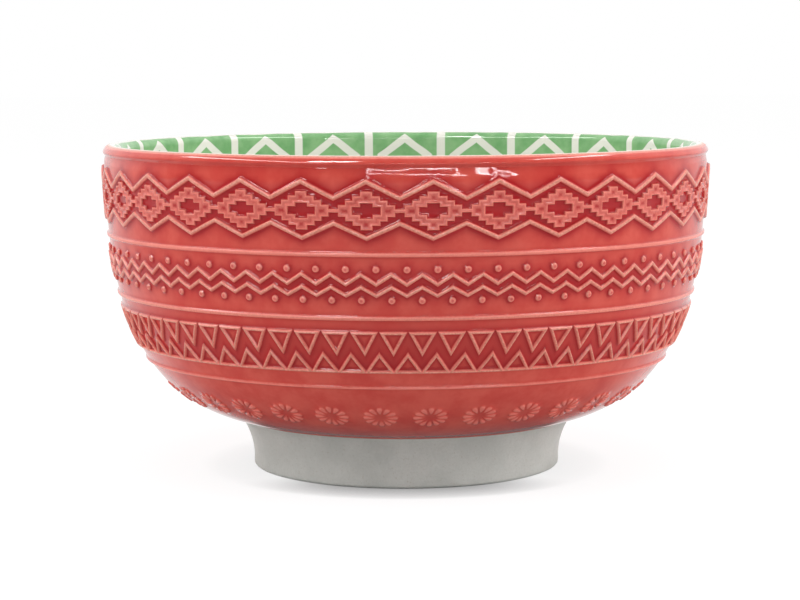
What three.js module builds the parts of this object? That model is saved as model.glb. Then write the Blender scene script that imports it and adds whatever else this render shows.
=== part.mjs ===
// Stoneware serving bowl with moulded relief bands. Millimetres, +Z up.
// Origin: centre of the circle that the foot stands on. The bowl's front faces -Y.

import * as THREE from 'three';

// Body
const RIM_RADIUS = 101.6; // outermost edge of the rounded lip
const BOWL_HEIGHT = 109;
const WALL = 4.6; // stoneware alone, without the glaze inside
const FLOOR = 7; // at the centre
const LIP_PROUD = 0.4; // how far the lip stands out from the wall below it
const LIP_STEP = 0.35; // height over which the wall steps out to the lip's widest line
const SHOULDER_HEIGHT = 80.2; // where the belly's curve runs out into the wall
const SHOULDER_DRAW = 1.3; // how far the wall draws in from the lip down to the shoulder
const WALL_LEAN = 5; // degrees that the wall leans outwards at the shoulder
const WALL_REACH = 9.9; // length of the upper wall's handle
const BELLY_RISE = 51.1; // length of the belly curve's upper handle
const BELLY_FLARE = 14.2; // length of the belly curve's lower handle
const BELLY_TILT = 10.7; // degrees that the belly leaves the foot above level

// Foot
const FOOT_RADIUS = 51.9;
const FOOT_HEIGHT = 17.3;
const FOOT_WALL = 5.4;
const FOOT_FLARE = 4.6; // how far the foot spreads where it meets the bowl
const FOOT_UPRIGHT = 3; // height from which it spreads, in a hollow curve
const FOOT_EASE = 0.8; // softened edges of the ring that stands on the table
const RECESS = 11.5; // clear height under the floor

// Glaze inside
const LINER = 0.6;

// Relief
const RELIEF = 0.95; // thickness of every moulded band
const SLIP = 0.12; // layer between a band and the wall, and between foot, glaze and wall

// Frieze of stepped diamonds between two wide zigzags; drops are measured down from the rim
const FRIEZE_REPEATS = 32;
const FRIEZE_TURN = 4.55; // degrees from the front to one diamond
const FRIEZE_DROP = 16.2; // centre of the diamonds
const DIAMOND_HEIGHT = 11.4;
const DIAMOND_WIDTH = 16.9;
const DIAMOND_STEPS = 4; // from the link bar up to the flat tip
const DIAMOND_STEP = 1.32; // height of one step of the outline
const DIAMOND_TIP = 3.5; // width of the flat tip
const LINK_HEIGHT = 1.15;
const EYE_HEIGHT = 4.6; // the stepped opening in a diamond
const EYE_WIDTH = 8.6;
const EYE_STEP = 1.1;
const EYE_WAIST = 3.8; // width of its upper and lower step
const CHAIN_SPAN = 0.65; // share of the pitch that the widest flat face of a diamond bridges
const UPPER_ZIGZAG_DROP = 10;
const UPPER_ZIGZAG_RISE = 4.95;
const LOWER_ZIGZAG_DROP = 22.2;
const LOWER_ZIGZAG_RISE = 4.45;
const ZIGZAG_STROKE = 1.4; // measured upright

// Two fine zigzags
const FINE_REPEATS = 68;
const FINE_TURN = 2.72;
const FINE_UPPER_DROP = 36.8;
const FINE_UPPER_RISE = 3;
const FINE_LOWER_DROP = 40.4;
const FINE_LOWER_RISE = 2.6;
const FINE_STROKE = 1.4;

// Plain rings
const RING_WIDTH = 1.4;
const FRIEZE_RING_DROP = 29.4;
const MIDDLE_RING_DROP = 48.7;
const LOWER_RING_DROP = 70.9;

// Standing triangles on their base line
const TRIANGLE_REPEATS = 68;
const TRIANGLE_TURN = 0.23;
const TRIANGLE_SPAN = 1; // share of the pitch that the widest flat face of a triangle bridges
const TRIANGLE_DROP = 65.8; // underside of the base line
const TRIANGLE_HEIGHT = 6.7; // base line included
const BASE_LINE = 0.75; // between two triangles
const TRIANGLE_BASE = 1; // under the opening of a triangle
const TRIANGLE_STROKE = 1.1;

// Facets
const SEGMENTS = 40; // round the bowl
const BELLY_STEPS = 7;
const WALL_STEPS = 2;
const LIP_STEPS = 4;
const FLARE_STEPS = 4;
const HALVINGS = 40; // of a curve, to find where it reaches a height

// Worked out
const wallRadius = RIM_RADIUS - LIP_PROUD;
const footTopRadius = FOOT_RADIUS + FOOT_FLARE;
const footInnerRadius = FOOT_RADIUS - FOOT_WALL;
const floorTop = RECESS + FLOOR;
const lipRadius = (LIP_PROUD + WALL + SLIP + LINER) / 2;
const lipCentre = new THREE.Vector2(RIM_RADIUS - lipRadius, BOWL_HEIGHT - lipRadius);
const linerTop = lipCentre.y - SLIP;
const shoulder = new THREE.Vector2(wallRadius - SHOULDER_DRAW, SHOULDER_HEIGHT);

const redGlaze = new THREE.Color(0xb13d3b);
const paleGlaze = new THREE.Color(0xd98a7c);
const whiteGlaze = new THREE.Color(0xf4f5f0);
const bareClay = new THREE.Color(0xb9b7b0);

// The wall's outer line is two curves that run smoothly into each other at the shoulder.
const tilt = THREE.MathUtils.degToRad(BELLY_TILT);
const lean = THREE.MathUtils.degToRad(WALL_LEAN);
const belly = new THREE.CubicBezierCurve(
  new THREE.Vector2(footTopRadius, FOOT_HEIGHT),
  new THREE.Vector2(footTopRadius + BELLY_FLARE * Math.cos(tilt), FOOT_HEIGHT + BELLY_FLARE * Math.sin(tilt)),
  new THREE.Vector2(shoulder.x - BELLY_RISE * Math.sin(lean), shoulder.y - BELLY_RISE * Math.cos(lean)),
  shoulder,
);
const upperWall = new THREE.QuadraticBezierCurve(
  shoulder,
  new THREE.Vector2(shoulder.x + WALL_REACH * Math.sin(lean), shoulder.y + WALL_REACH * Math.cos(lean)),
  new THREE.Vector2(wallRadius, lipCentre.y - LIP_STEP),
);

// A point at parameter t of a curve of the outer line, moved out square to it.
function off(curve, t, proud) {
  const point = curve.getPoint(t);
  const tangent = curve.getTangent(t);
  return new THREE.Vector2(point.x + proud * tangent.y, point.y - proud * tangent.x);
}

// Points at even steps along a curve of the outer line, moved out square to it. The first is left out.
function along(curve, steps, proud) {
  return Array.from({ length: steps }, (_, i) => off(curve, (i + 1) / steps, proud));
}

// A point off the wall's outer face at height z, as (radius, height); proud is measured square to it.
function offWall(z, proud) {
  const curve = z < SHOULDER_HEIGHT ? belly : upperWall;
  let low = 0;
  let high = 1;
  for (let i = 0; i < HALVINGS; i += 1) {
    const middle = (low + high) / 2;
    if (curve.getPoint(middle).y < z) low = middle;
    else high = middle;
  }
  return off(curve, low, proud);
}

// The inside of the stoneware, or a face nearer the middle: floor first, then up the wall.
function cavityProfile(inset, top) {
  const depth = WALL + inset;
  return [
    new THREE.Vector2(0, floorTop + inset),
    off(belly, 0, -depth),
    ...along(belly, BELLY_STEPS, -depth),
    ...along(upperWall, WALL_STEPS, -depth).slice(0, -1),
    new THREE.Vector2(wallRadius - depth, top),
  ];
}

// A solid of revolution from a profile of (radius, height) points.
function revolve(profile) {
  const geometry = new THREE.LatheGeometry(profile, SEGMENTS);
  geometry.rotateX(Math.PI / 2);
  return geometry;
}

function named(name, geometry, color, roughness) {
  const mesh = new THREE.Mesh(geometry, new THREE.MeshStandardMaterial({ color, roughness, metalness: 0 }));
  mesh.name = name;
  return mesh;
}

// Wall and floor with the rounded lip. A ledge under the lip takes the edge of the inner glaze.
function bowlWall() {
  const outside = [off(belly, 0, 0), ...along(belly, BELLY_STEPS, 0), ...along(upperWall, WALL_STEPS, 0)];
  const lip = [];
  for (let i = 0; i <= LIP_STEPS; i += 1) {
    const angle = (i / LIP_STEPS) * Math.PI;
    lip.push(new THREE.Vector2(
      lipCentre.x + lipRadius * Math.cos(angle),
      lipCentre.y + lipRadius * Math.sin(angle),
    ));
  }
  const inside = cavityProfile(0, lipCentre.y).reverse();
  const stub = footInnerRadius - SLIP;
  return revolve([
    new THREE.Vector2(0, RECESS),
    new THREE.Vector2(stub, RECESS),
    new THREE.Vector2(stub, FOOT_HEIGHT),
    ...outside,
    ...lip,
    ...inside,
  ]);
}

// The ring that the bowl stands on. Its side rises upright and then spreads in a hollow curve.
function footRing() {
  const top = FOOT_HEIGHT - SLIP;
  const flare = new THREE.QuadraticBezierCurve(
    new THREE.Vector2(FOOT_RADIUS, FOOT_UPRIGHT),
    new THREE.Vector2(FOOT_RADIUS, (FOOT_UPRIGHT + top) / 2),
    new THREE.Vector2(footTopRadius, top),
  ).getPoints(FLARE_STEPS);
  return revolve([
    new THREE.Vector2(footInnerRadius, top),
    new THREE.Vector2(footInnerRadius, FOOT_EASE),
    new THREE.Vector2(footInnerRadius + FOOT_EASE, 0),
    new THREE.Vector2(FOOT_RADIUS - FOOT_EASE, 0),
    new THREE.Vector2(FOOT_RADIUS, FOOT_EASE),
    ...flare,
    new THREE.Vector2(footInnerRadius, top),
  ]);
}

// The glaze coat that lines the bowl, from the centre of the floor to the ledge under the lip.
function innerGlaze() {
  const back = cavityProfile(SLIP, linerTop);
  const face = cavityProfile(SLIP + LINER, linerTop);
  return revolve([...back, ...face.reverse()]);
}

// A plain raised ring of ridge section.
function ring(drop) {
  const z = BOWL_HEIGHT - drop;
  const low = offWall(z - RING_WIDTH / 2, SLIP);
  const high = offWall(z + RING_WIDTH / 2, SLIP);
  return revolve([low, offWall(z, SLIP + RELIEF), high, low]);
}

// How far the back of a band must stand off the round wall where a flat face bridges part of a turn.
function bridge(z, turns) {
  return offWall(z, 0).x * (1 - Math.cos(Math.PI * turns));
}

// A point on the bowl at an angle from the front, in degrees, given its (radius, height).
function round(point, degrees) {
  const angle = THREE.MathUtils.degToRad(degrees);
  return [point.x * Math.sin(angle), -point.x * Math.cos(angle), point.y];
}

function closedBody(positions) {
  const geometry = new THREE.BufferGeometry();
  geometry.setAttribute('position', new THREE.Float32BufferAttribute(positions.flat(), 3));
  geometry.computeVertexNormals();
  return geometry;
}

// A raised line that runs round the bowl in a zigzag, with a high point at the given turn. Its section is
// a list of [height from the middle of the line, proud] points, from the upper edge down.
function zigzag(drop, rise, section, repeats, turn) {
  const stations = 2 * repeats;
  const middle = BOWL_HEIGHT - drop;

  function place(station, index) {
    const [up, proud] = section[index % section.length];
    const z = middle + (station % 2 === 0 ? rise / 2 : -rise / 2) + up;
    const seat = SLIP + bridge(z, 1 / stations);
    return round(offWall(z, seat + proud), turn + (station * 360) / stations);
  }

  const positions = [];
  for (let station = 0; station < stations; station += 1) {
    for (let index = 0; index < section.length; index += 1) {
      const a = place(station, index);
      const b = place(station + 1, index);
      const c = place(station + 1, index + 1);
      const d = place(station, index + 1);
      positions.push(a, d, c, a, c, b);
    }
  }
  return closedBody(positions);
}

const flatLine = [
  [ZIGZAG_STROKE / 2, 0],
  [ZIGZAG_STROKE / 2, RELIEF],
  [-ZIGZAG_STROKE / 2, RELIEF],
  [-ZIGZAG_STROKE / 2, 0],
];
const ridgeLine = [
  [FINE_STROKE / 2, 0],
  [0, RELIEF],
  [-FINE_STROKE / 2, 0],
];

// A pierced band that runs all the way round. One repeat is drawn flat as a shape, with x as the share of
// the pitch from 0 to 1 and y as the height, and is wrapped round the wall with its middle at the given
// turn. span is the widest share of the pitch that one flat face bridges.
function piercedBand(cell, repeats, turn, span) {
  const { shape, holes } = cell.extractPoints(1);
  if (THREE.ShapeUtils.isClockWise(shape)) shape.reverse();
  for (const hole of holes) if (!THREE.ShapeUtils.isClockWise(hole)) hole.reverse();
  const triangles = THREE.ShapeUtils.triangulateShape(shape, holes);
  const flat = [shape, ...holes].flat();

  function place(index, repeat, proud) {
    const { x, y } = flat[index];
    const seat = SLIP + bridge(y, span / repeats);
    return round(offWall(y, seat + proud), turn + ((repeat + x - 0.5) * 360) / repeats);
  }

  // Edges that need a side face: all but those where one repeat joins the next.
  const edges = [];
  let first = 0;
  for (const loop of [shape, ...holes]) {
    loop.forEach((point, i) => {
      const following = (i + 1) % loop.length;
      const onSeam = point.x === loop[following].x && (point.x === 0 || point.x === 1);
      if (!onSeam) edges.push([first + i, first + following]);
    });
    first += loop.length;
  }

  const positions = [];
  for (let repeat = 0; repeat < repeats; repeat += 1) {
    for (const [a, b, c] of triangles) {
      positions.push(place(a, repeat, RELIEF), place(b, repeat, RELIEF), place(c, repeat, RELIEF));
      positions.push(place(c, repeat, 0), place(b, repeat, 0), place(a, repeat, 0));
    }
    for (const [a, b] of edges) {
      positions.push(place(a, repeat, 0), place(b, repeat, 0), place(b, repeat, RELIEF));
      positions.push(place(a, repeat, 0), place(b, repeat, RELIEF), place(a, repeat, RELIEF));
    }
  }
  return closedBody(positions);
}

// Stepped diamonds with stepped openings, joined into a chain by short link bars.
function diamondChain() {
  const centre = BOWL_HEIGHT - FRIEZE_DROP;
  const pitch = (2 * Math.PI * wallRadius) / FRIEZE_REPEATS;
  const inset = (DIAMOND_WIDTH - DIAMOND_TIP) / 2 / (DIAMOND_STEPS - 1);

  // Upper right quarter of the outline, from the link bar up to the flat top of the diamond.
  const quarter = [[pitch / 2, LINK_HEIGHT / 2], [DIAMOND_WIDTH / 2, LINK_HEIGHT / 2]];
  for (let step = 0; step < DIAMOND_STEPS; step += 1) {
    const half = DIAMOND_WIDTH / 2 - step * inset;
    const top = DIAMOND_HEIGHT / 2 - (DIAMOND_STEPS - 1 - step) * DIAMOND_STEP;
    if (step > 0) quarter.push([half, top - DIAMOND_STEP]);
    quarter.push([half, top]);
  }
  const at = (x, y) => new THREE.Vector2(0.5 + x / pitch, centre + y);
  const left = quarter.slice().reverse();
  const cell = new THREE.Shape([
    ...quarter.map(([x, y]) => at(x, y)),
    ...left.map(([x, y]) => at(-x, y)),
    ...quarter.map(([x, y]) => at(-x, -y)),
    ...left.map(([x, y]) => at(x, -y)),
  ]);

  const eye = [
    [EYE_WIDTH / 2, EYE_HEIGHT / 2 - EYE_STEP],
    [EYE_WAIST / 2, EYE_HEIGHT / 2 - EYE_STEP],
    [EYE_WAIST / 2, EYE_HEIGHT / 2],
  ];
  const eyeLeft = eye.slice().reverse();
  cell.holes.push(new THREE.Path([
    ...eye.map(([x, y]) => at(x, y)),
    ...eyeLeft.map(([x, y]) => at(-x, y)),
    ...eye.map(([x, y]) => at(-x, -y)),
    ...eyeLeft.map(([x, y]) => at(x, -y)),
  ]));
  return piercedBand(cell, FRIEZE_REPEATS, FRIEZE_TURN, CHAIN_SPAN);
}

// A row of outlined triangles that stand on a base line.
function standingTriangles() {
  const low = BOWL_HEIGHT - TRIANGLE_DROP;
  const line = low + BASE_LINE;
  const tip = low + TRIANGLE_HEIGHT;
  const pitch = (2 * Math.PI * offWall(line, 0).x) / TRIANGLE_REPEATS;
  const side = Math.hypot(pitch / 2, tip - line);
  const strokeAcross = (TRIANGLE_STROKE * side) / (tip - line) / pitch;
  const strokeDown = (TRIANGLE_STROKE * side) / (pitch / 2);
  const base = low + TRIANGLE_BASE;
  const corner = strokeAcross + (base - line) / (tip - line) / 2;
  const cell = new THREE.Shape([
    new THREE.Vector2(0, low),
    new THREE.Vector2(1, low),
    new THREE.Vector2(1, line),
    new THREE.Vector2(0.5, tip),
    new THREE.Vector2(0, line),
  ]);
  cell.holes.push(new THREE.Path([
    new THREE.Vector2(corner, base),
    new THREE.Vector2(0.5, tip - strokeDown),
    new THREE.Vector2(1 - corner, base),
  ]));
  return piercedBand(cell, TRIANGLE_REPEATS, TRIANGLE_TURN, TRIANGLE_SPAN);
}

const upperZigzag = zigzag(UPPER_ZIGZAG_DROP, UPPER_ZIGZAG_RISE, flatLine, FRIEZE_REPEATS, FRIEZE_TURN);
const lowerZigzag = zigzag(LOWER_ZIGZAG_DROP, -LOWER_ZIGZAG_RISE, flatLine, FRIEZE_REPEATS, FRIEZE_TURN);
const fineUpper = zigzag(FINE_UPPER_DROP, FINE_UPPER_RISE, ridgeLine, FINE_REPEATS, FINE_TURN);
const fineLower = zigzag(FINE_LOWER_DROP, FINE_LOWER_RISE, ridgeLine, FINE_REPEATS, FINE_TURN);

const bowl = new THREE.Group();
bowl.add(
  named('bowl_wall', bowlWall(), redGlaze, 0.2),
  named('foot_ring', footRing(), bareClay, 0.8),
  named('inner_glaze', innerGlaze(), whiteGlaze, 0.15),
  named('upper_zigzag', upperZigzag, paleGlaze, 0.25),
  named('diamond_chain', diamondChain(), paleGlaze, 0.25),
  named('lower_zigzag', lowerZigzag, paleGlaze, 0.25),
  named('frieze_ring', ring(FRIEZE_RING_DROP), paleGlaze, 0.25),
  named('fine_zigzag_upper', fineUpper, paleGlaze, 0.25),
  named('fine_zigzag_lower', fineLower, paleGlaze, 0.25),
  named('middle_ring', ring(MIDDLE_RING_DROP), paleGlaze, 0.25),
  named('standing_triangles', standingTriangles(), paleGlaze, 0.25),
  named('lower_ring', ring(LOWER_RING_DROP), paleGlaze, 0.25),
);

export default bowl;
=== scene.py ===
"""Stoneware serving bowl: moulded relief under red glaze, a green print on white inside, and a bare foot."""
import math

import bpy
import numpy as np
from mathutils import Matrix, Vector
from mathutils.geometry import delaunay_2d_cdt


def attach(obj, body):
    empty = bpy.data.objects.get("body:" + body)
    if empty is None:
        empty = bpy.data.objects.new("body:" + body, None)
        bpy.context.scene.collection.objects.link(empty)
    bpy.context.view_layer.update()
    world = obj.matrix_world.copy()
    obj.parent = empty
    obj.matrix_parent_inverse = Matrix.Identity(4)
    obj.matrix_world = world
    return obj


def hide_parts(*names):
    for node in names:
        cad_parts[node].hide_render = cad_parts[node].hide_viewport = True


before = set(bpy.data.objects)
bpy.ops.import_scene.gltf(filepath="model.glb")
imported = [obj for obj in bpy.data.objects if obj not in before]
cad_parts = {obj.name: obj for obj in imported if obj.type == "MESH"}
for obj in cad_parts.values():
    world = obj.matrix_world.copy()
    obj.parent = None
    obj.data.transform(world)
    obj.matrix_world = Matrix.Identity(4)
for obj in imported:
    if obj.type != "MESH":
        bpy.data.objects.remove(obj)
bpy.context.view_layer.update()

# Lengths below are in millimetres, and MM turns them into Blender's metres.
MM = 0.001

# Body
RIM_RADIUS = 101.6
BOWL_HEIGHT = 109.0
WALL = 4.6
LINER = 0.6
FLOOR_FACE = 19.3
LIP_PROUD = 0.4
LIP_STEP = 0.8  # height over which the wall steps out to the lip
SHOULDER_HEIGHT = 80.2  # where the belly's curve runs out into the leaning wall
SHOULDER_DRAW = 1.3  # how far inside the wall's radius the shoulder lies
WALL_LEAN = math.radians(5)  # at the shoulder
WALL_REACH = 9.9  # length of the upper wall's handle
BELLY_RISE = 51.1  # length of the belly curve's handle at the shoulder
BELLY_FLARE = 14.2  # length of its handle at the foot
BELLY_TILT = math.radians(10.7)  # slope of the belly where it leaves the foot
GROOVE = 0.4  # depth of the shallow hollow in the glaze under the lip
GROOVE_LOW = 100.7  # height from which the wall draws in to it
CREST = 84  # degrees round the lip from its outermost line to where red glaze meets white

# Foot
FOOT_RADIUS = 51.9
FOOT_HEIGHT = 17.3
FOOT_WALL = 5.4
FOOT_FLARE = 4.6
FOOT_UPRIGHT = 3.0  # height from which the foot spreads, in a hollow curve
FOOT_EASE = 1.1
RECESS = 11.5
SEAM = 0.05  # between the foot and what it meets

WALL_RADIUS = RIM_RADIUS - LIP_PROUD
LIP_RADIUS = (LIP_PROUD + WALL + LINER) / 2
LIP_CENTRE = (RIM_RADIUS - LIP_RADIUS, BOWL_HEIGHT - LIP_RADIUS)
LIP_LOW = LIP_CENTRE[1] - LIP_STEP
GROOVE_BED = (WALL_RADIUS - GROOVE, LIP_LOW)
SHOULDER = (WALL_RADIUS - SHOULDER_DRAW, SHOULDER_HEIGHT)

# Heights of the relief above the table, from the lip down: its rows, and the ends of the bands that hold them
UPPER_ZIGZAG = 98.95
DIAMOND_ROW = 92.8
LOWER_ZIGZAG = 86.8
FRIEZE_LOW = 81.6
FRIEZE_RING = 79.6
FINE_HIGH = 78.0
UPPER_DOTS = 75.2
FINE_ZIGZAG_UPPER = 72.2
FINE_ZIGZAG_LOWER = 68.6
LOWER_DOTS = 65.8
FINE_LOW = 62.6
MIDDLE_RING = 60.25
TRIANGLES_HIGH = 58.0
HANGING_TOP = 56.15
STANDING_TIP = 49.6
HANGING_TIP = 48.7
DRAINED_LOW = 43.6  # below this the glaze ran off the triangles instead of pooling
STANDING_BASE = 43.2
TRIANGLES_LOW = 41.5
LOWER_RING = 38.1
ROSETTES_HIGH = 35.4
ROSETTE_ROW = 27.4
ROSETTES_LOW = 20.3

# Counts round the bowl
DIAMONDS = 32
FINE_REPEATS = 68
TRIANGLES = 68
ROSETTES = 32
PETALS = 12
RING_CELLS = 144  # a plain ring repeats nothing, so it is cut into short cells

DOT_RADIUS = 0.95
TRIANGLE_STROKE = 0.78
HANGING_WIDTH = 0.92  # share of the pitch
STANDING_WIDTH = 1.06

# Fineness of the meshes
SHELL_DEPTH = 2.0  # how far each piece of the outside reaches into the stoneware
SEGMENTS = 288
LONGEST_EDGE = 2.4  # of a motif's outline, so that it follows the round wall
CLEARANCE = 0.35  # between an outline and the points that fill the cell
SHARP_ANGLE = math.radians(50)
ON_EDGE = 1e-3  # a point this near to a cell's edge lies on it
WELD = 1e-5  # points nearer together than this become one
TINY = 1e-6  # shorter than any real length

# Sections of the relief: distance out from a motif's edge (below 0 inside it), height, bareness of the glaze
LINE_SECTION = [
    (-0.60, 0.93, 1.0), (-0.28, 0.95, 1.0), (-0.06, 0.80, 0.85), (0.12, 0.40, 0.55), (0.32, 0.10, 0.05),
    (0.60, 0.0, 0.0), (1.30, 0.0, 0.0),
]
DISHED_SECTION = [
    (-1.60, 0.66, 0.28), (-1.05, 0.68, 0.50), (-0.75, 0.70, 0.58), (-0.42, 0.90, 0.62), (-0.12, 0.84, 0.95),
    (0.08, 0.42, 0.45), (0.28, 0.10, 0.0), (0.60, 0.0, 0.0), (1.30, 0.0, 0.0),
]
RING_SECTION = [(offset, height * 0.7, bareness) for offset, height, bareness in LINE_SECTION]
DOT_SECTION = [(-0.6, 0.7, 0.55), (-0.35, 0.74, 0.8), (-0.12, 0.62, 1.0), (0.1, 0.3, 0.5), (0.35, 0.0, 0.0)]
PETAL_SECTION = [(-0.5, 0.42, 0.85), (-0.2, 0.38, 0.85), (0.0, 0.2, 0.45), (0.22, 0.0, 0.0)]


class Profile:
    """A curve of (radius, height) points, found by the length run along it."""

    def __init__(self, points):
        points = np.array(points, float)
        steps = np.hypot(*np.diff(points, axis=0).T)
        self.points = points[np.concatenate([[True], steps > TINY])]
        steps = np.hypot(*np.diff(self.points, axis=0).T)
        self.lengths = np.concatenate([[0.0], np.cumsum(steps)])
        tangents = np.gradient(self.points, self.lengths, axis=0)
        tangents /= np.linalg.norm(tangents, axis=1)[:, None]
        self.normals = np.stack([tangents[:, 1], -tangents[:, 0]], 1)

    def at(self, length, proud=0.0):
        """Radius and height at a length along the curve, proud of it along the outward normal."""
        columns = [*self.points.T, *self.normals.T]
        radius, height, out, up = [np.interp(length, self.lengths, column) for column in columns]
        return radius + out * proud, height + up * proud

    def length_at(self, height):
        return float(np.interp(height, self.points[:, 1], self.lengths))


def bell(value, middle, spread):
    """1 at the middle, falling away smoothly to both sides."""
    return np.exp(-((value - middle) / spread) ** 2)


def bezier(a, b, c, d, count):
    """A cubic curve from a to d, with b and c for handles."""
    t = np.linspace(0, 1, count)[:, None]
    a, b, c, d = [np.array(p, float) for p in (a, b, c, d)]
    return (1 - t) ** 3 * a + 3 * (1 - t) ** 2 * t * b + 3 * (1 - t) * t * t * c + t ** 3 * d


def quadratic(a, b, c, count):
    """A curve from a to c that leaves and arrives in line with b."""
    a, b, c = [np.array(p, float) for p in (a, b, c)]
    return bezier(a, a + (b - a) * 2 / 3, c + (b - c) * 2 / 3, c, count)


def arc(centre, radius, start, end, count):
    """Points of a circle between two angles in degrees."""
    angles = np.radians(np.linspace(start, end, count))
    return np.stack([centre[0] + radius * np.cos(angles), centre[1] + radius * np.sin(angles)], 1)


foot_top = (FOOT_RADIUS + FOOT_FLARE, FOOT_HEIGHT)
belly = bezier(
    foot_top,
    (foot_top[0] + BELLY_FLARE * math.cos(BELLY_TILT), FOOT_HEIGHT + BELLY_FLARE * math.sin(BELLY_TILT)),
    (SHOULDER[0] - BELLY_RISE * math.sin(WALL_LEAN), SHOULDER[1] - BELLY_RISE * math.cos(WALL_LEAN)),
    SHOULDER,
    count=600,
)
bend = (SHOULDER[0] + WALL_REACH * math.sin(WALL_LEAN), SHOULDER[1] + WALL_REACH * math.cos(WALL_LEAN))
upper_wall = quadratic(SHOULDER, bend, (WALL_RADIUS, GROOVE_LOW), count=80)
groove_bend = (WALL_RADIUS, (GROOVE_LOW + LIP_LOW) / 2)
groove = quadratic((WALL_RADIUS, GROOVE_LOW), groove_bend, GROOVE_BED, count=30)
wall = Profile([*belly, *upper_wall, *groove, (GROOVE_BED[0], BOWL_HEIGHT)])


class Motif:
    """A raised form in a flat cell of the wall, u to the right and v up along the wall, in millimetres."""

    section = LINE_SECTION
    bareness = 1.0
    pooling = 1.0
    reach = 1.4  # how far from the raised edge the glaze pools

    def strength(self, u, v):
        """Share of the full height that the motif has at a point."""
        return 1.0


class Line(Motif):
    """A raised line right round the bowl, straight or in a zigzag with its high point at u = 0."""

    def __init__(self, middle, half, rise=0.0, bareness=1.0, pooling=1.0, reach=1.4):
        self.middle = middle
        self.half = half
        self.rise = rise
        self.bareness = bareness
        self.pooling = pooling
        self.reach = reach

    def slant(self, pitch):
        return math.hypot(1.0, 2 * self.rise / pitch)

    def ridge(self, u, pitch):
        return self.middle + self.rise * (0.5 - np.abs(u) / (pitch / 2))

    def distance(self, u, v, pitch):
        return np.abs(v - self.ridge(u, pitch)) / self.slant(pitch) - self.half

    def outlines(self, offset, pitch):
        apart = (self.half + offset) * self.slant(pitch)
        thinnest = 0.01
        across = [-pitch / 2, 0.0, pitch / 2]
        sides = [-apart, apart] if apart > thinnest else []
        return [([(u, float(self.ridge(u, pitch)) + side) for u in across], False) for side in sides]


class Ring(Line):
    """A plain raised line, lower than the zigzags."""

    section = RING_SECTION


class Patch(Motif):
    """A raised convex shape, or its outline where stroke is set."""

    def __init__(self, corners, stroke=None, bareness=1.0):
        self.stroke = stroke
        self.bareness = bareness
        corners = np.array(corners, float)
        along = np.roll(corners, -1, axis=0) - corners
        along /= np.linalg.norm(along, axis=1)[:, None]
        self.sides = np.stack([along[:, 1], -along[:, 0]], 1)
        self.limits = np.einsum("ij,ij->i", self.sides, corners)

    def distance(self, u, v, pitch):
        depths = [np.max([n[0] * (u - copy) + n[1] * v - c for n, c in zip(self.sides, self.limits)], axis=0)
                  for copy in (-pitch, 0.0, pitch)]
        depth = np.min(depths, axis=0)
        if self.stroke is None:
            return depth
        return np.abs(depth + self.stroke / 2) - self.stroke / 2

    def grown(self, offset):
        """The shape moved out by offset, or in where it is negative: a large square clipped by each side."""
        far = 99.0
        shape = [np.array(p) for p in ((-far, -far), (far, -far), (far, far), (-far, far))]
        for normal, limit in zip(self.sides, self.limits + offset):
            over = [float(normal @ p - limit) for p in shape]
            kept = []
            for i, p in enumerate(shape):
                before, here = over[i - 1], over[i]
                if (before > 0) != (here > 0):
                    kept.append(shape[i - 1] + (p - shape[i - 1]) * before / (before - here))
                if here <= 0:
                    kept.append(p)
            shape = kept
        return shape

    def outlines(self, offset, pitch):
        offsets = [offset]
        if self.stroke is not None:
            offsets = [offset, -self.stroke - offset] if offset > -self.stroke / 2 else []
        found = []
        for shape in [self.grown(o) for o in offsets]:
            for copy in (-pitch, 0.0, pitch):
                across = [p[0] + copy for p in shape]
                if len(shape) > 2 and min(across) < pitch / 2 and max(across) > -pitch / 2:
                    found.append(([(p[0] + copy, p[1]) for p in shape], True))
        return found


class Dot(Patch):
    """A small round knob with the glaze a little thicker in its middle."""

    section = DOT_SECTION

    def __init__(self, u, v, radius):
        count = 12
        angles = [2 * math.pi * i / count for i in range(count)]
        super().__init__([(u + radius * math.cos(a), v + radius * math.sin(a)) for a in angles])


class Petal(Patch):
    """A wedge of a rosette, which rises from nothing at the middle to its rounded outer end."""

    section = PETAL_SECTION
    pooling = 0.1
    outline = [
        (1.4, -0.1), (4.2, -0.86), (4.9, -0.8), (5.3, -0.4), (5.3, 0.4), (4.9, 0.8), (4.2, 0.86), (1.4, 0.1),
    ]
    ramp = [1.0, 2.8]  # distances from the rosette's middle between which the petal rises

    def __init__(self, centre, angle):
        cos, sin = math.cos(angle), math.sin(angle)
        corners = [(cos * a - sin * b, centre + sin * a + cos * b) for a, b in self.outline]
        super().__init__(corners, bareness=0.8)
        self.centre = centre

    def strength(self, u, v):
        return np.interp(np.hypot(u, v - self.centre), self.ramp, [0.0, 1.0])


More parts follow.
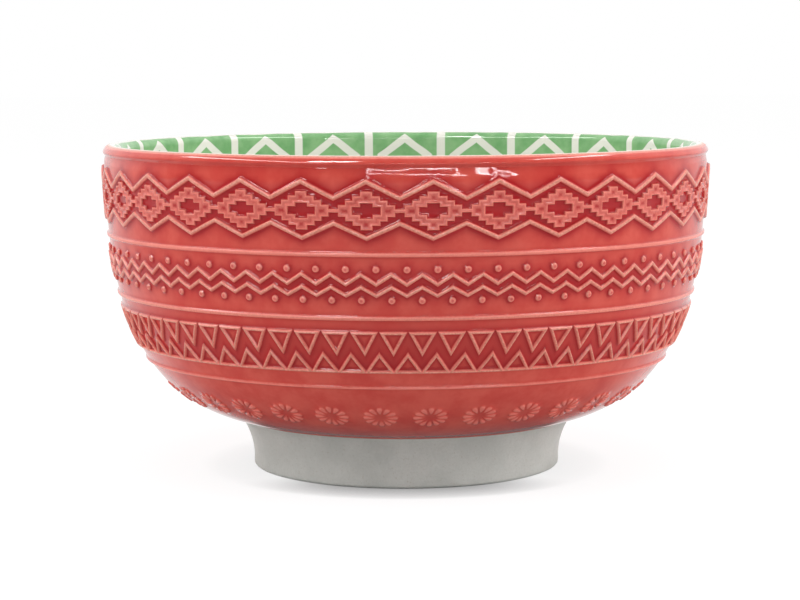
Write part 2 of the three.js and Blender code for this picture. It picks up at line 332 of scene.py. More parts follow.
class SteppedDiamond(Motif):
    """A stepped diamond with a stepped opening, on a link bar that runs on to the next diamond."""

    section = DISHED_SECTION
    pooling = 1.35
    reach = 2.2

    def __init__(self, middle, steps, opening, link):
        self.middle = middle
        self.steps = steps
        self.opening = opening
        self.link = link

    @staticmethod
    def stack(u, v, boxes):
        """Distance from a stack of centred boxes, each given by half its width and half its height."""
        return np.min([np.maximum(np.abs(u) - a, np.abs(v) - b) for a, b in boxes], axis=0)

    def distance(self, u, v, pitch):
        v = v - self.middle
        body = np.minimum(self.stack(u, v, self.steps), np.abs(v) - self.link)
        return np.maximum(body, -self.stack(u, v, self.opening))

    def stairs(self, boxes, grow):
        """Corners of the upper half of a stack of boxes, from the right to the left."""
        quarter = []
        for i, (a, b) in enumerate(boxes):
            if i:
                quarter.append((a + grow, boxes[i - 1][1] + grow))
            quarter.append((a + grow, b + grow))
        return quarter + [(-u, v) for u, v in reversed(quarter)]

    def loop(self, upper):
        """The closed outline whose upper half is given."""
        lower = [(u, -v) for u, v in reversed(upper)]
        return [(u, v + self.middle) for u, v in upper + lower], True

    def outlines(self, offset, pitch):
        upper = self.stairs(self.steps, offset)
        link = self.link + offset
        found = []
        if link > 0:
            side = upper[0][0]
            upper = [(pitch / 2, link), (side, link), *upper, (-side, link), (-pitch / 2, link)]
            for turn in (1, -1):
                found.append(([(u, self.middle + turn * v) for u, v in upper], False))
        else:
            found.append(self.loop(upper))
        if all(b > offset for _, b in self.opening):
            found.append(self.loop(self.stairs(self.opening, -offset)))
        return found


class Band:
    """A stretch of the wall between two heights, with motifs repeated round the bowl."""

    def __init__(self, name, low, high, repeats, turn, motifs, stands_for, spacing=1.4, drained=0.0):
        self.name = name
        self.repeats = repeats
        self.turn = math.radians(turn)
        self.low = wall.length_at(low)
        self.high = wall.length_at(high)
        self.origin = (self.low + self.high) / 2
        radius = float(wall.at(self.origin)[0])
        self.pitch = 2 * math.pi * radius / repeats
        self.motifs = motifs(self)
        self.stands_for = stands_for
        self.spacing = spacing  # of the points between the motifs
        self.drained = wall.length_at(drained)

    def up(self, height):
        """Where a height above the table lies in this band's cell."""
        return wall.length_at(height) - self.origin

    def local(self, angle, length):
        """Where a point of the wall lies in the nearest repeat of this band's cell."""
        share = (angle - self.turn) / (2 * math.pi) * self.repeats
        return (share - np.round(share)) * self.pitch, length - self.origin


def frieze_motifs(band):
    steps = [(8.45, 1.72), (6.27, 3.06), (4.09, 4.38), (1.75, 5.72)]
    opening = [(4.3, 1.2), (1.9, 2.3)]
    return [
        Line(band.up(UPPER_ZIGZAG), half=0.56, rise=4.95, reach=2.1),
        SteppedDiamond(band.up(DIAMOND_ROW), steps, opening, link=0.5),
        Line(band.up(LOWER_ZIGZAG), half=0.54, rise=-4.45, reach=1.7),
    ]


def ring_motif(height, half, bareness):
    """What a band with one plain ring holds."""
    def motifs(band):
        return [Ring(band.up(height), half, bareness=bareness, pooling=0.6, reach=1.1)]
    return motifs


def fine_motifs(band):
    return [
        Dot(band.pitch / 2, band.up(UPPER_DOTS), DOT_RADIUS),
        Line(band.up(FINE_ZIGZAG_UPPER), half=0.45, rise=3.0),
        Line(band.up(FINE_ZIGZAG_LOWER), half=0.45, rise=2.6),
        Dot(0.0, band.up(LOWER_DOTS), DOT_RADIUS),
    ]


def triangle_motifs(band):
    middle = band.pitch / 2
    top = band.up(HANGING_TOP)
    base = band.up(STANDING_BASE)
    half_top = HANGING_WIDTH / 2 * band.pitch
    half_base = STANDING_WIDTH / 2 * band.pitch
    hanging_corners = [(middle - half_top, top), (middle, band.up(HANGING_TIP)), (middle + half_top, top)]
    hanging = Patch(hanging_corners, TRIANGLE_STROKE)
    hanging.reach = 2.0
    standing = Patch([(-half_base, base), (half_base, base), (0.0, band.up(STANDING_TIP))], TRIANGLE_STROKE)
    base_line = Line(base + 0.36, half=0.26, pooling=0.3)
    return [hanging, standing, base_line]


def rosette_motifs(band):
    centre = band.up(ROSETTE_ROW)
    return [Petal(centre, 2 * math.pi * i / PETALS) for i in range(PETALS)]


bands = [
    Band("frieze", FRIEZE_LOW, LIP_LOW, DIAMONDS, turn=4.55, motifs=frieze_motifs,
         stands_for=["upper_zigzag", "diamond_chain", "lower_zigzag"], spacing=1.15),
    Band("ring_under_frieze", FINE_HIGH, FRIEZE_LOW, RING_CELLS, turn=0.0,
         motifs=ring_motif(FRIEZE_RING, half=0.55, bareness=0.85), stands_for=["frieze_ring"], spacing=2.0),
    Band("dots_and_fine_zigzags", FINE_LOW, FINE_HIGH, FINE_REPEATS, turn=2.72, motifs=fine_motifs,
         stands_for=["fine_zigzag_upper", "fine_zigzag_lower"]),
    Band("ring_under_zigzags", TRIANGLES_HIGH, FINE_LOW, RING_CELLS, turn=0.0,
         motifs=ring_motif(MIDDLE_RING, half=0.55, bareness=0.9), stands_for=["middle_ring"], spacing=2.0),
    Band("two_rows_of_triangles", TRIANGLES_LOW, TRIANGLES_HIGH, TRIANGLES, turn=0.23, motifs=triangle_motifs,
         stands_for=["standing_triangles"], drained=DRAINED_LOW),
    Band("ring_under_triangles", ROSETTES_HIGH, TRIANGLES_LOW, RING_CELLS, turn=0.0,
         motifs=ring_motif(LOWER_RING, half=0.42, bareness=0.75), stands_for=["lower_ring"], spacing=2.0),
    Band("rosettes", ROSETTES_LOW, ROSETTES_HIGH, ROSETTES, turn=5.33, motifs=rosette_motifs,
         stands_for=["bowl_wall"], spacing=1.6),
]


def relief(angle, length):
    """Height of the relief, bareness of the glaze and how much it pools, anywhere on the wall."""
    drained_share = 0.3
    height, bare, pool = [np.zeros(np.shape(angle)) for _ in range(3)]
    for band in bands:
        u, v = band.local(angle, length)
        share = np.where(length < band.drained, drained_share, 1.0)
        for motif in band.motifs:
            distance = motif.distance(u, v, band.pitch)
            offsets, heights, barenesses = zip(*motif.section)
            strength = motif.strength(u, v)
            height = np.maximum(height, np.interp(distance, offsets, heights) * strength)
            bare = np.maximum(bare, np.interp(distance, offsets, barenesses) * motif.bareness * strength)
            pool += np.exp(-np.maximum(distance, 0.0) / motif.reach) * motif.bareness * motif.pooling * share
    return height, bare, pool


def swell(angle, height):
    """The glaze's slow waves under the lip, where it ran a little and froze."""
    middle = 104.1
    spread = 1.3
    lean = 0.5  # how far a wave turns for each millimetre up, in radians
    # How many waves go round, where they start and how high they are
    waves = [(5, 0.3, 0.07), (9, 1.9, 0.06), (16, 4.4, 0.05), (27, 0.8, 0.035), (43, 2.6, 0.02)]
    total = sum(size * np.sin(count * angle + start + height * lean) for count, start, size in waves)
    return total * bell(height, middle, spread)


def stray(angle, height):
    """How far the moulded relief strays from an even spacing, in radians: it runs wide at the front left."""
    most = math.radians(-0.62)
    place = -56  # degrees from the front
    spread = 20
    share = np.interp(height, [50, 90], [0.6, 1.0])  # less of it low on the wall
    turned_by = np.degrees((angle + math.pi) % (2 * math.pi) - math.pi)
    return most * share * bell(turned_by, place, spread)


def under_lip(height):
    """How much the glaze pools in the hollow under the lip."""
    most = 0.45
    return most * bell(height, LIP_LOW, spread=1.5)


def flat_cell(band):
    """One repeat of a band, flat: its points and triangles, with every motif's outlines among the edges."""
    half = band.pitch / 2
    low = band.low - band.origin
    high = band.high - band.origin
    points = []
    edges = []

    def draw(outline, closed):
        first = len(points)
        corners = [*outline, outline[0]] if closed else outline
        for start, end in zip(corners, corners[1:]):
            steps = max(1, math.ceil(math.dist(start, end) / LONGEST_EDGE))
            for i in range(steps):
                share = i / steps
                points.append(tuple(a + (b - a) * share for a, b in zip(start, end)))
        if not closed:
            points.append(outline[-1])
        count = len(points) - first
        edges.extend((first + i, first + (i + 1) % count) for i in range(count if closed else count - 1))

    columns = max(2, round(band.pitch / LONGEST_EDGE))
    rows = max(1, round((high - low) / band.spacing))
    across = [-half + band.pitch * i / columns for i in range(columns + 1)]
    side = [low + (high - low) * i / rows for i in range(rows + 1)]
    for v in (low, high):
        draw([(u, v) for u in across], False)
    for u in (-half, half):
        draw([(u, v) for v in side], False)
    for motif in band.motifs:
        for offset, _, _ in motif.section:
            for outline, closed in motif.outlines(offset, band.pitch):
                draw(outline, closed)

    count = max(2, round(band.pitch / band.spacing))
    grid = [(-half + band.pitch * (i + 0.5 * (j % 2)) / count, side[j])
            for j in range(1, rows) for i in range(1, count)]
    if grid:
        u, v = np.array(grid).T
        room = np.full(len(grid), np.inf)
        for motif in band.motifs:
            distance = motif.distance(u, v, band.pitch)
            room = np.minimum(room, np.min([np.abs(distance - row[0]) for row in motif.section], axis=0))
        points.extend(grid[i] for i in np.flatnonzero(room > CLEARANCE))

    all_triangles = 0  # the kind of result that is asked for
    found, _, faces, *_ = delaunay_2d_cdt([Vector(p) for p in points], edges, [], all_triangles, WELD)
    found = np.array([tuple(p) for p in found])
    inside = []
    for face in faces:
        u, v = found[list(face)].mean(axis=0)
        if abs(u) < half and low < v < high:
            inside.append(list(face))
    used, faces = np.unique(np.array(inside), return_inverse=True)
    return found[used], faces.reshape(-1, 3)


def band_face(band):
    """The band's outer face all the way round: angles, lengths and triangles, with the repeats joined."""
    flat, faces = flat_cell(band)
    half = band.pitch / 2
    on_left = np.flatnonzero(np.abs(flat[:, 0] + half) < ON_EDGE)
    on_right = np.flatnonzero(np.abs(flat[:, 0] - half) < ON_EDGE)
    on_left = on_left[np.argsort(flat[on_left, 1])]
    on_right = on_right[np.argsort(flat[on_right, 1])]
    assert len(on_left) == len(on_right), f"{band.name}: {len(on_left)} points left, {len(on_right)} right"
    own = np.setdiff1d(np.arange(len(flat)), on_right)
    rank = np.full(len(flat), -1)
    rank[own] = np.arange(len(own))
    angles = []
    lengths = []
    triangles = []
    for repeat in range(band.repeats):
        table = rank + repeat * len(own)
        table[on_right] = rank[on_left] + (repeat + 1) % band.repeats * len(own)
        angles.append(band.turn + (repeat + flat[own, 0] / band.pitch) * 2 * math.pi / band.repeats)
        lengths.append(flat[own, 1] + band.origin)
        triangles.append(table[faces])
    return np.concatenate(angles), np.concatenate(lengths), np.concatenate(triangles)


def new_piece(name, points, faces, attributes, nodes, finish):
    """A mesh from points in millimetres, with numbers on its points for the glaze, standing for CAD nodes."""
    mesh = bpy.data.meshes.new(name)
    mesh.from_pydata((np.asarray(points) * MM).tolist(), [], faces)
    for title, values in attributes.items():
        mesh.attributes.new(title, "FLOAT", "POINT").data.foreach_set("value", np.asarray(values, np.float32))
    mesh.shade_smooth()
    mesh.set_sharp_from_angle(angle=SHARP_ANGLE)
    mesh.materials.append(finish)
    piece = bpy.data.objects.new(name, mesh)
    bpy.context.scene.collection.objects.link(piece)
    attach(piece, "root")
    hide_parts(*nodes)
    return piece


def turned(radius, angle, height):
    """Points at an angle from the front of the bowl, which faces -Y."""
    return np.stack([radius * np.sin(angle), -radius * np.cos(angle), height], 1)


def relief_band(band, finish):
    """A closed ring of the wall: the moulded face outside, and a plain back inside the stoneware."""
    angles, lengths, triangles = band_face(band)
    height, bare, pool = relief(angles, lengths)
    level = wall.at(lengths)[1]
    height += swell(angles, level)
    pool += under_lip(level)
    angles += stray(angles, level)
    radius, z = wall.at(lengths, height)
    points = [turned(radius, angles, z)]
    faces = triangles.tolist()

    edges = []
    for end in (band.low, band.high):
        edge = np.flatnonzero(np.abs(lengths - end) < ON_EDGE)
        edges.append(edge[np.argsort(angles[edge])])
    count = len(edges[0])
    assert count == len(edges[1]), band.name
    rows = 4
    rings = [edges[0]]
    for row in range(rows + 1):
        length = band.low + (band.high - band.low) * row / rows
        back_radius, back_z = wall.at(np.full(count, length), -SHELL_DEPTH)
        points.append(turned(back_radius, angles[edges[0]], back_z))
        rings.append(len(angles) + row * count + np.arange(count))
    rings.append(edges[1])
    for ring, following in zip(rings, rings[1:]):
        quads = np.stack([ring, following, np.roll(following, -1), np.roll(ring, -1)], 1)
        faces.extend(quads.tolist())
    back = np.zeros(count * (rows + 1))
    attributes = {"bareness": np.concatenate([bare, back]), "pooling": np.concatenate([pool, back])}
    new_piece(band.name, np.concatenate(points), faces, attributes, band.stands_for, finish)


def revolved(name, profile, attributes, nodes, finish):
    """A turned piece. Its profile of (radius, height) runs anticlockwise, closed or from axis to axis."""
    angles = np.arange(SEGMENTS) * 2 * math.pi / SEGMENTS
    points = []
    rings = []
    spread = {title: [] for title in attributes}
    total = 0
    for i, (radius, height) in enumerate(profile):
        count = 1 if radius < TINY else SEGMENTS
        points.append(turned(np.full(count, radius), angles[:count], np.full(count, height)))
        rings.append(np.broadcast_to(total + np.arange(count), SEGMENTS))
        for title, values in attributes.items():
            spread[title].extend([values[i]] * count)
        total += count
    if profile[0][0] > TINY:
        rings.append(rings[0])
    faces = []
    for ring, following in zip(rings, rings[1:]):
        quads = np.stack([ring, np.roll(ring, -1), np.roll(following, -1), following], 1)
        corners = [list(dict.fromkeys(quad)) for quad in quads.tolist()]
        faces.extend(face for face in corners if len(face) > 2)
    return new_piece(name, np.concatenate(points), faces, spread, nodes, finish)


def plug(place, value):
    """Gives a socket a link where the value is a Wire, and otherwise the value itself."""
    if isinstance(value, Wire):
        place.id_data.links.new(value.socket, place)
    else:
        place.default_value = value


class Wire:
    """A node's output. Python's operators on it add Math nodes."""

    def __init__(self, socket):
        self.socket = socket

    def math(self, operation, *others):
        node = self.socket.id_data.nodes.new("ShaderNodeMath")
        node.operation = operation
        for place, value in zip(node.inputs, (self, *others)):
            plug(place, value)
        return Wire(node.outputs[0])

    def __add__(self, other):
        return self.math("ADD", other)

    def __mul__(self, other):
        return self.math("MULTIPLY", other)

    def __sub__(self, other):
        return self.math("SUBTRACT", other)

    def __rsub__(self, other):
        return (self * -1.0) + other

    def __truediv__(self, other):
        return self.math("DIVIDE", other)

    def __neg__(self):
        return self * -1.0

    def __abs__(self):
        return self.math("ABSOLUTE")

    __radd__ = __add__
    __rmul__ = __mul__

    def most(self, other):
        return self.math("MAXIMUM", other)


def srgb(red, green, blue):
    """A colour written as it is seen, from 0 to 255, in the linear values that a socket takes."""
    parts = [c / 255 for c in (red, green, blue)]
    return [*[c / 12.92 if c < 0.04045 else ((c + 0.055) / 1.055) ** 2.4 for c in parts], 1.0]


class Nodes:
    """A node tree and the ways to fill it."""

    def __init__(self, tree):
        self.tree = tree
        tree.nodes.clear()

    def add(self, kind, settings=None, inputs=None, output=0):
        """Any node: its settings first, then the values or links of its sockets. Gives one of its outputs."""
        node = self.tree.nodes.new("ShaderNode" + kind)
        for key, value in (settings or {}).items():
            setattr(node, key, value)
        for key, value in (inputs or {}).items():
            plug(node.inputs[key], value)
        return Wire(node.outputs[output]) if node.outputs else node

    def rise(self, value, low, high):
        """From 0 at low to 1 at high, with soft ends."""
        settings = {"interpolation_type": "SMOOTHSTEP"}
        return self.add("MapRange", settings, {"Value": value, "From Min": low, "From Max": high})

    def mix(self, share, first, second):
        """A colour between two."""
        return self.add("Mix", {"data_type": "RGBA"}, {0: share, 6: first, 7: second}, output=2)

    def either(self, share, first, second):
        """A shader between two."""
        return self.add("MixShader", inputs={0: share, 1: first, 2: second})

    def axis(self, vector, letter):
        return self.add("SeparateXYZ", inputs={0: vector}, output=letter)

    def ray(self, kind):
        """1 for the rays of one kind, such as Camera."""
        return self.add("LightPath", output=f"Is {kind} Ray")


class Finish(Nodes):
    """A material that is made from one Principled surface."""

    def __init__(self, name):
        self.material = bpy.data.materials.new(name)
        self.material.use_nodes = True
        super().__init__(self.material.node_tree)
        self.place = self.add("TexCoord", output="Object")

    def number(self, title):
        """A number that the mesh carries on its points."""
        return self.add("Attribute", {"attribute_name": title}, output="Fac")

    def noise(self, size, detail, roughness):
        """Noise from about 0 to 1, with patches of about the given size in millimetres."""
        values = {"Scale": 1 / (size * MM), "Detail": detail, "Roughness": roughness}
        return self.add("TexNoise", inputs={"Vector": self.place, **values})

    def bump(self, height, depth, below=None):
        """Bumps of the given depth in millimetres, on top of other bumps where below is given."""
        inputs = {"Height": height, "Distance": depth * MM}
        if below is not None:
            inputs["Normal"] = below
        return self.add("Bump", inputs=inputs)

    def surface(self, color, roughness, normal, **constants):
        inputs = {"Base Color": color, "Roughness": roughness, "Normal": normal, **constants}
        shader = self.add("BsdfPrincipled", inputs=inputs)
        self.add("OutputMaterial", inputs={"Surface": shader})
        return self.material


def red_glaze():
    """Translucent red over pale stoneware: pale where it breaks on an edge, crimson where it pools."""
    finish = Finish("red_glaze")
    bareness = finish.number("bareness")
    pooling = finish.number("pooling")
    patches = finish.noise(9, detail=3, roughness=0.6)
    blotches = finish.noise(3.0, detail=2, roughness=0.6)
    grain = finish.noise(0.7, detail=3, roughness=0.65)
    speckle = finish.noise(0.35, detail=2, roughness=0.6)

    coral = finish.mix(finish.rise(patches, 0.3, 0.7), srgb(199, 70, 61), srgb(211, 89, 76))
    deep = finish.rise(pooling * (0.75 + patches * 0.5), 0.1, 1.2)
    crimson = finish.mix(deep, coral, srgb(165, 31, 35))
    tan = finish.mix(finish.rise(grain, 0.3, 0.7), srgb(200, 120, 100), srgb(226, 150, 132))
    pale = finish.mix(finish.rise(bareness, 0.8, 1.0), srgb(232, 128, 114), tan)
    pale = finish.mix(finish.rise(bareness, 1.1, 1.8), pale, srgb(252, 226, 206))
    broken = finish.rise(bareness + (grain - 0.5) * 0.3 + (blotches - 0.5) * 0.4, 0.12, 0.92)
    color = finish.mix(broken, crimson, pale)
    roughness = 0.04 + broken * 0.16 + speckle * 0.03

    waves = finish.bump(finish.noise(14, detail=1, roughness=0.4), 0.11)
    ripples = finish.bump(finish.noise(3.2, detail=2, roughness=0.5), 0.02, waves)
    skin = finish.bump(grain * broken, 0.05, ripples)
    return finish.surface(color, roughness, skin, IOR=1.5)


def bare_stoneware():
    """Matt fired clay: cool grey, cloudy and finely speckled."""
    finish = Finish("bare_stoneware")
    clouds = finish.noise(16, detail=4, roughness=0.6)
    grain = finish.noise(0.9, detail=3, roughness=0.7)
    specks = finish.rise(finish.noise(0.6, detail=1, roughness=0.4), 0.68, 0.74)
    clay = finish.mix(finish.rise(clouds, 0.3, 0.7), srgb(182, 185, 180), srgb(196, 198, 193))
    clay = finish.mix(finish.rise(grain, 0.35, 0.75) * 0.3, clay, srgb(168, 170, 163))
    color = finish.mix(specks * 0.35, clay, srgb(150, 142, 124))
    pits = finish.bump(grain, 0.05)
    return finish.surface(color, 0.42 + grain * 0.2, pits, IOR=1.45)


class Print(Finish):
    """A soft-edged two-colour print, drawn by the distance down from the rim and the angle round the bowl."""

    edge = 0.45  # width over which a printed edge fades
    sway = 1.3  # how far the printed lines wander

    def __init__(self, name):
        super().__init__(name)
        wobble = (self.noise(11, detail=1, roughness=0.4) - 0.5) * self.sway
        self.down = self.number("down") + wobble
        east = self.axis(self.place, "X")
        north = self.axis(self.place, "Y")
        self.round = east.math("ARCTAN2", -north) / (2 * math.pi)

    def cell(self, repeats):
        """Distance from the nearest repeat's middle, as a share of half the pitch: 0 at it, 1 half-way on."""
        return (self.round * float(repeats)).math("PINGPONG", 0.5) * 2.0

    def within(self, value, half):
        """1 where the value in millimetres is nearer to 0 than half."""
        return 1 - self.rise(abs(value), half - self.edge / 2, half + self.edge / 2)

    def band(self, low, high):
        """1 between two distances down from the rim."""
        return self.within(self.down - (low + high) / 2, (high - low) / 2)


def white_glaze():
    """Smooth white glaze over a green print of plain geometric bands and a flower on the floor.

    Each row is given by its distance down from the rim, in millimetres.
    """
    finish = Print("white_glaze")
    down = finish.down

    # Bars and chevrons left white on a green band under the rim: 22 repeats of about 28 mm
    panel = finish.cell(22)
    bars = finish.within((1 - panel) * 14.0, 1.6)
    chevrons = finish.within(down - 4.2 - panel * 10.5, 1.7) * (1 - finish.rise(panel, 0.74, 0.78))
    rim_band = finish.band(1.5, 17.0) * (1 - bars.most(chevrons))

    # Dots: 66 repeats of about 9 mm
    across = finish.cell(66) * 4.4
    below = down - 20.6
    dots = finish.within((across * across + below * below).math("SQRT"), 1.7)

    # A wide zigzag with a line above and below: 26 repeats of about 22 mm
    zigzag = finish.within(down - 28.0 - finish.cell(26) * 11.0, 2.6)
    lines = finish.band(24.0, 24.9).most(finish.band(42.2, 43.1))

    # Diamonds left white on green: 30 repeats of about 17 mm
    diamonds = finish.rise(finish.cell(30) * 7.4 + abs(down - 51.4), 4.6, 5.2)
    diamond_band = finish.band(45.0, 57.8) * diamonds

    # Standing triangles: 40 repeats
    triangles = finish.rise(down - 61.0 - finish.cell(40) * 8.5, 0.0, finish.edge) * finish.band(60.5, 70.6)

    # Floor: a ring, then a flower of twelve leaves on thin stems round a disc
    ring = finish.band(92.0, 94.2)
    reach = 152.0 - down
    aside = finish.cell(12) * reach
    stems = finish.within(aside * 0.26, 0.2) * finish.band(98.0, 146.0)
    leaves = finish.rise(abs(reach - 30.0) * 0.3 + aside * 0.27, 5.9, 5.4)
    disc = finish.within(reach, 7.5)

    inked = rim_band
    for figure in (dots, zigzag, lines, diamond_band, triangles, ring, leaves, disc, stems):
        inked = inked.most(figure)
    washes = finish.noise(7, detail=3, roughness=0.55)
    grain = finish.noise(1.6, detail=3, roughness=0.6)
    green = finish.mix(finish.rise(washes, 0.3, 0.7), srgb(112, 166, 108), srgb(138, 184, 130))
    color = finish.mix(inked * (0.94 + grain * 0.1), srgb(233, 230, 222), green)
    waves = finish.bump(finish.noise(16, detail=1, roughness=0.4), 0.12)
    return finish.surface(color, 0.08 + grain * 0.05, waves, IOR=1.5)


glaze = red_glaze()
clay = bare_stoneware()
liner_glaze = white_glaze()


def lip(finish):
    """The rounded edge, red up to its crest, with the glaze thin there."""
    lowest = 14  # degrees round the lip at which its round line begins
    over = arc(LIP_CENTRE, LIP_RADIUS, lowest, CREST, count=24)
    along = (over[0] - over[1]) * 4
    under = bezier(GROOVE_BED, (GROOVE_BED[0], LIP_LOW + LIP_STEP / 2), over[0] + along, over[0], count=12)
    back = [(over[-1][0], LIP_CENTRE[1]), (WALL_RADIUS - SHELL_DEPTH, LIP_LOW)]
    profile = np.array([*under, *over[1:], *back])
    angle = np.degrees(np.arctan2(profile[:, 1] - LIP_CENTRE[1], profile[:, 0] - LIP_CENTRE[0]))
    on_lip = profile[:, 1] > LIP_CENTRE[1]
    bareness = np.where(on_lip, np.interp(angle, [38, 48, 60, 76], [0.0, 0.6, 1.05, 1.5]), 0.0)
    pooling = np.interp(profile[:, 1] - LIP_LOW, [0.0, 1.0, 1.8, 2.6], [0.45, 0.5, 0.3, 0.4])
    attributes = {"bareness": bareness, "pooling": pooling}
    revolved("lip", profile, attributes, ["bowl_wall"], finish)


def belly_base(finish):
    """The lowest stretch of the belly, and the rolled edge of its glaze that hangs a little over the foot."""
    roll = 0.55  # height of the rolled edge
    overhang = 0.9  # how far out its curve is drawn
    hang = 0.5  # and how far down
    top = bands[-1].low
    x, z = foot_top
    curve = np.stack(wall.at(np.linspace(wall.length_at(z + roll), top, 14)), 1)
    along = (curve[1] - curve[0]) / np.linalg.norm(curve[1] - curve[0])
    bead = bezier((x - 0.35, z - 0.3), (x + overhang, z - hang), curve[0] - along * 1.2, curve[0], count=12)
    back = [wall.at(top, -SHELL_DEPTH), (x - 2, z + 1.6)]
    profile = np.array([*bead, *curve[1:], *back])
    from_edge = np.hypot(profile[:, 0] - bead[0][0], profile[:, 1] - bead[0][1])
    # Pale where the glaze thins at its rolled edge, and in part painted light on the bead's lower front,
    # which lies in shade
    bareness = np.interp(from_edge, [1.5, 2.3], [1.1, 0.0])
    pooling = np.interp(from_edge, [0.5, 2, 6], [0.6, 0.35, 0.1])
    attributes = {"bareness": bareness, "pooling": pooling}
    revolved("belly_base", profile, attributes, ["bowl_wall"], finish)


def recess_floor(finish):
    """The bare underside inside the foot, which meets the foot in a small fillet."""
    thickness = 3
    edge = FOOT_RADIUS - FOOT_WALL - SEAM
    fillet_end = (edge, RECESS - 0.6)
    fillet = bezier((edge - 2.5, RECESS), (edge - 0.8, RECESS), fillet_end, fillet_end, count=6)
    profile = [(0.0, RECESS), (20.0, RECESS), *fillet, (edge, RECESS + thickness), (0.0, RECESS + thickness)]
    below = revolved("recess_floor", profile, {}, ["bowl_wall"], finish)
    below.visible_glossy = False


def foot_ring(finish):
    """The bare foot, eased where it stands and spreading up to the belly in a hollow curve."""
    inner = FOOT_RADIUS - FOOT_WALL
    top = FOOT_HEIGHT - SEAM
    outer_ease = arc((FOOT_RADIUS - FOOT_EASE, FOOT_EASE), FOOT_EASE, -90, 0, count=7)
    inner_ease = arc((inner + FOOT_EASE, FOOT_EASE), FOOT_EASE, 180, 270, count=7)
    middle = (FOOT_UPRIGHT + top) / 2
    flare = quadratic((FOOT_RADIUS, FOOT_UPRIGHT), (FOOT_RADIUS, middle), (foot_top[0], top), count=20)
    profile = [*outer_ease, *flare, (inner, top), (inner, RECESS - 0.4), *inner_ease]
    foot = revolved("foot", profile, {}, ["foot_ring"], finish)
    # In its place the glaze mirrors a glow in the foot's tone on the floor beneath, a painted reflection of
    # the foot
    foot.visible_glossy = False  # the belly's glaze is too uneven there to mirror it


def inner_glaze(finish):
    """The white lining, from the crest of the lip over the inside of the wall to the middle of the floor."""
    depth = WALL + LINER
    thickness = 1.5
    over = arc(LIP_CENTRE, LIP_RADIUS, CREST, 180, count=24)
    lengths = np.linspace(wall.length_at(LIP_LOW - 4), 3.0, 64)
    curved = np.stack(wall.at(lengths, -depth), 1)
    edge = curved[-1]
    along = (curved[-2] - edge) * 5
    floor_face = bezier(edge, edge - along, (24.0, FLOOR_FACE), (0.0, FLOOR_FACE), count=24)
    face = np.array([*over, *curved, *floor_face[1:]])
    down = np.concatenate([[0.0], np.cumsum(np.hypot(*np.diff(face, axis=0).T))])
    wall_back = np.stack(wall.at(lengths[::-6], thickness - depth), 1)
    floor_back = [(0.0, FLOOR_FACE - thickness), (edge[0], FLOOR_FACE + thickness)]
    back = np.array([*floor_back, *wall_back, (over[0][0] - 0.1, LIP_CENTRE[1])])
    profile = np.concatenate([face, back])
    attributes = {"down": np.concatenate([down, np.zeros(len(back))])}
    revolved("lining", profile, attributes, ["inner_glaze"], finish)


for band in bands:
    relief_band(band, glaze)
lip(glaze)
belly_base(glaze)
recess_floor(clay)
foot_ring(clay)
inner_glaze(liner_glaze)


# Camera, at the photograph's place
CAMERA_DISTANCE = 780.0
CAMERA_HEIGHT = 140.8
CAMERA_SIDE = -1.7
CAMERA_PITCH = math.radians(6.255)
CAMERA_ROLL = math.radians(0.2)
CAMERA_LENS = 103.7


def camera():
    """The camera, level enough to show the inside of the bowl as a narrow strip."""
    data = bpy.data.cameras.new("camera")
    data.lens = CAMERA_LENS
    data.sensor_width = 36.0
    data.clip_start = 0.01
    data.clip_end = 50.0
    view = bpy.data.objects.new("camera", data)
    view.location = Vector((CAMERA_SIDE, -CAMERA_DISTANCE, CAMERA_HEIGHT)) * MM
    view.rotation_euler = (math.pi / 2 - CAMERA_PITCH, CAMERA_ROLL, 0.0)
    bpy.context.scene.collection.objects.link(view)
    bpy.context.scene.camera = view


def lamp(name, place, aim, size, brightness, mirrored=False):
    """A rectangular lamp that either lights the bowl softly or is only mirrored in its glaze.

    Its place, aim and size are in metres, and at brightness 1 it looks like a lit white surface.
    """
    data = bpy.data.lights.new(name, "AREA")
    data.shape = "RECTANGLE"
    data.size, data.size_y = size
    data.energy = brightness * math.pi * size[0] * size[1]
    light = bpy.data.objects.new(name, data)
    light.location = place
    light.rotation_euler = (Vector(aim) - Vector(place)).to_track_quat("-Z", "Y").to_euler()
    light.visible_camera = False
    light.visible_glossy = mirrored
    light.visible_diffuse = not mirrored
    bpy.context.scene.collection.objects.link(light)


def around(degrees, distance, height):
    """A place in metres at an angle from the bowl's front."""
    angle = math.radians(degrees)
    return (distance * math.sin(angle), -distance * math.cos(angle), height)


def window(name, degrees, width, low, high):
    """The lit edges of a window, as four thin lamps that the glaze mirrors as bright outlines."""
    distance = 1.5
    bar = 0.012
    post = 0.006
    brightness = 50.0
    middle = (0.0, 0.0, (low + high) / 2)
    for part, height in (("sill", low), ("head", high)):
        place = around(degrees, distance, height)
        lamp(f"{name}_{part}", place, middle, (width, bar), brightness, mirrored=True)
    for part, side in (("left", -1), ("right", 1)):
        turn = degrees + side * math.degrees(width / 2 / distance)
        place = around(turn, distance, middle[2])
        lamp(f"{name}_{part}", place, middle, (post, high - low), brightness, mirrored=True)


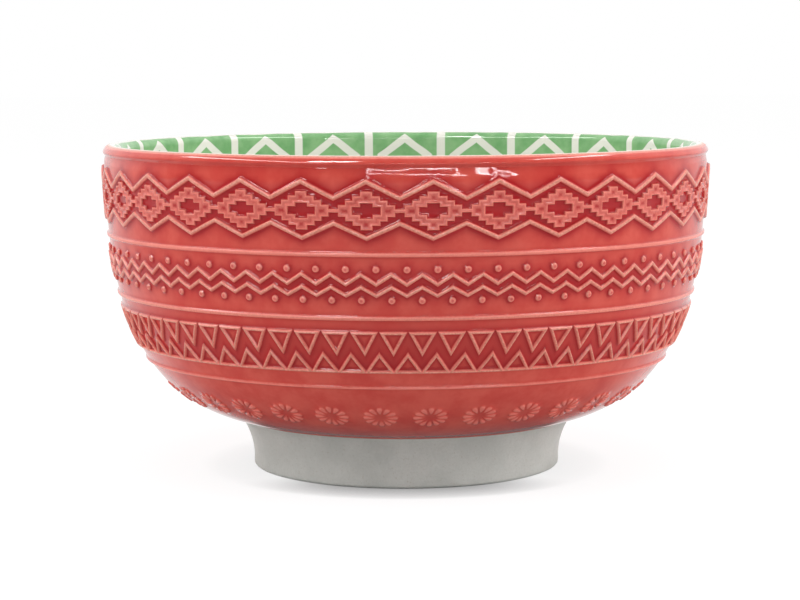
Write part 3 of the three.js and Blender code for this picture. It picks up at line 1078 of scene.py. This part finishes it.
def lamps():
    """Soft boxes at both sides, in front and overhead, and the windows and strips that the glaze mirrors."""
    middle = (0.0, 0.0, 0.06)
    lamp("overhead", (0.0, -0.45, 1.35), middle, size=(1.2, 1.0), brightness=2.2)
    lamp("left_box", around(-84, 1.4, 0.36), middle, size=(0.9, 0.7), brightness=4.4)
    lamp("right_box", around(84, 1.4, 0.36), middle, size=(0.9, 0.7), brightness=5.0)
    lamp("front_box", around(4, 1.5, 0.25), middle, size=(1.0, 0.4), brightness=4.6)
    window("middle_window", degrees=2.0, width=0.84, low=0.33, high=0.5)
    window("right_window", degrees=33, width=0.32, low=0.36, high=0.48)
    lamp("right_pane", around(28, 1.5, 0.41), middle, size=(0.15, 0.15), brightness=14.0, mirrored=True)
    lamp("small_window", around(19, 1.5, 0.29), middle, size=(0.12, 0.04), brightness=16.0, mirrored=True)
    lamp("skylight", around(-30, 1.15, 1.07), middle, size=(0.4, 0.3), brightness=30.0, mirrored=True)
    lamp("left_strip", (-1.0, -0.72, 0.95), aim=(0.0, -0.72, 0.11), size=(2.1, 0.13), brightness=14.0,
         mirrored=True)
    lamp("right_strip", (0.9, -0.15, 1.14), aim=(0.0, -0.15, 0.11), size=(0.96, 0.12), brightness=16.0,
         mirrored=True)


def floor():
    """A white tabletop that keeps the bowl's shadow, with a painted contact shadow darkest where the foot
    touches it.
    """
    finish = Finish("tabletop")

    def matt(tone):
        return finish.add("BsdfDiffuse", inputs={"Color": [tone, tone, tone, 1.0]})

    def glow(strength):
        return finish.add("Emission", inputs={"Strength": strength})

    x = finish.axis(finish.place, "X")
    y = finish.axis(finish.place, "Y")
    away = (x * x + y * y).math("SQRT")
    backward = y / away  # -1 straight in front of the bowl, 1 straight behind it
    # The glow that whitens the tabletop is dimmed by ambient occlusion round the foot, most in front of it: a
    # painted contact shadow
    open_sky = finish.add("AmbientOcclusion", {"samples": 8}, {"Distance": 0.02}, "AO")
    shade = (1 - open_sky) * (1.05 - finish.rise(backward, -0.95, -0.55) * 0.85)
    seen = finish.add("AddShader", inputs={0: matt(0.15), 1: glow((1 - shade).most(0.0) * 0.89)})

    # The glaze mirrors a painted reflection of the foot, a glow in its tone where the foot stands, and a
    # floor bright behind it and dim in front
    close = 1 - finish.rise(away, 0.12, 0.4)
    open_floor = finish.either(finish.rise(backward + close * 0.5, 0.0, 0.95), matt(0.32), glow(0.9))
    mirrored = finish.either(finish.rise(away, 0.052, 0.06), glow(0.16), open_floor)

    # The floor that lights the bowl from below is white, and greyer in front
    scattered = finish.either(finish.rise(backward, -0.9, 0.0), matt(0.47), matt(0.85))

    unseen = finish.either(finish.ray("Glossy"), scattered, mirrored)
    shown = finish.either(finish.ray("Camera"), unseen, seen)
    finish.add("OutputMaterial", inputs={"Surface": shown})
    half = 6.0
    corners = [(-half, -half, 0), (half, -half, 0), (half, half, 0), (-half, half, 0)]
    mesh = bpy.data.meshes.new("floor")
    mesh.from_pydata(corners, [], [(0, 1, 2, 3)])
    mesh.materials.append(finish.material)
    plane = bpy.data.objects.new("floor", mesh)
    bpy.context.scene.collection.objects.link(plane)


def surroundings():
    """A white room that is dimmer on the camera's side, both as light and in what the glaze mirrors."""
    world = bpy.data.worlds.new("surroundings")
    bpy.context.scene.world = world
    world.use_nodes = True
    nodes = Nodes(world.node_tree)
    direction = nodes.add("TexCoord", output="Generated")
    back = nodes.axis(direction, "Y")
    up = nodes.axis(direction, "Z")
    mirrored = 0.12 + nodes.rise(back + up * 0.8, 0.0, 0.8) * 0.88
    scattered = 0.36 + nodes.rise(back, -0.7, 0.5) * 0.6
    diffuse = nodes.ray("Diffuse")
    strength = nodes.ray("Camera").most(diffuse * scattered + (1 - diffuse) * mirrored)
    light = nodes.add("Background", inputs={"Color": [1.0, 1.0, 1.0, 1.0], "Strength": strength})
    nodes.add("OutputWorld", inputs={"Surface": light})


camera()
floor()
surroundings()
lamps()
bpy.context.scene.view_settings.view_transform = "Standard"
